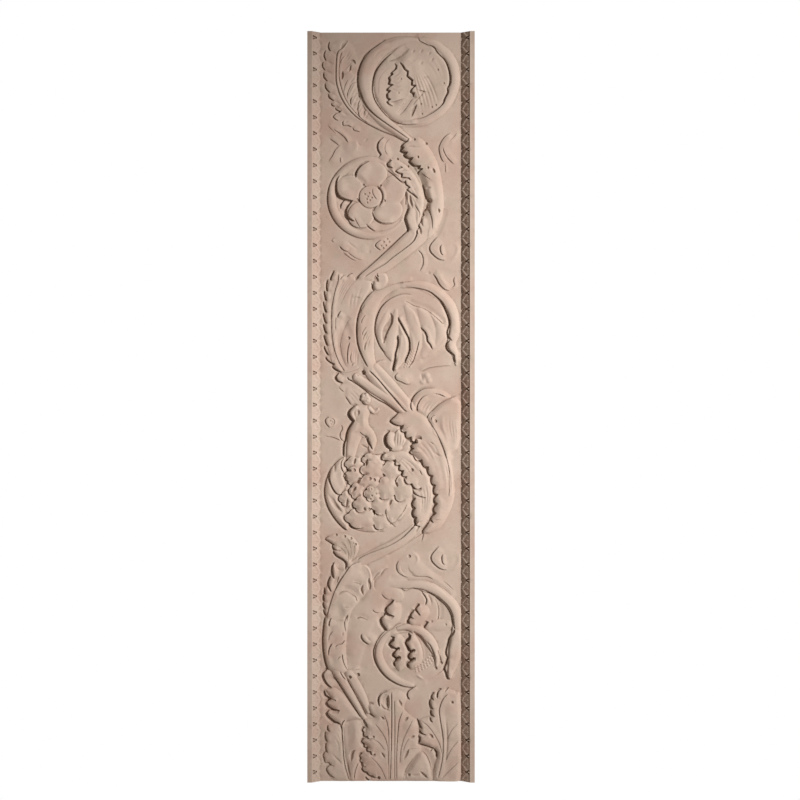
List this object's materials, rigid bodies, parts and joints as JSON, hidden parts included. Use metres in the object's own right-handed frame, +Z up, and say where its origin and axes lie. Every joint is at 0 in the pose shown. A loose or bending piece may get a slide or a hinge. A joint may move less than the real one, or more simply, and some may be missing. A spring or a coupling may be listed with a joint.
{
  "type": "wall relief",
  "caption": "Tall cast plaster wall relief, a pilaster panel with a scrolling acanthus stem, blossoms, birds and a winged child between leaf-and-dart edge mouldings.",
  "frame": {"origin": "centre of the flat rear face, where the panel is fixed to its wall", "axes": "+Z up along the panel, +Y into the wall, the carved face towards -Y"},
  "size_m": [0.586, 0.056, 2.6308],
  "materials": {
    "tinted_plaster": "matte"
  },
  "bodies": {
    "root": {"relief_panel": "tinted_plaster"}
  },
  "joints": []
}
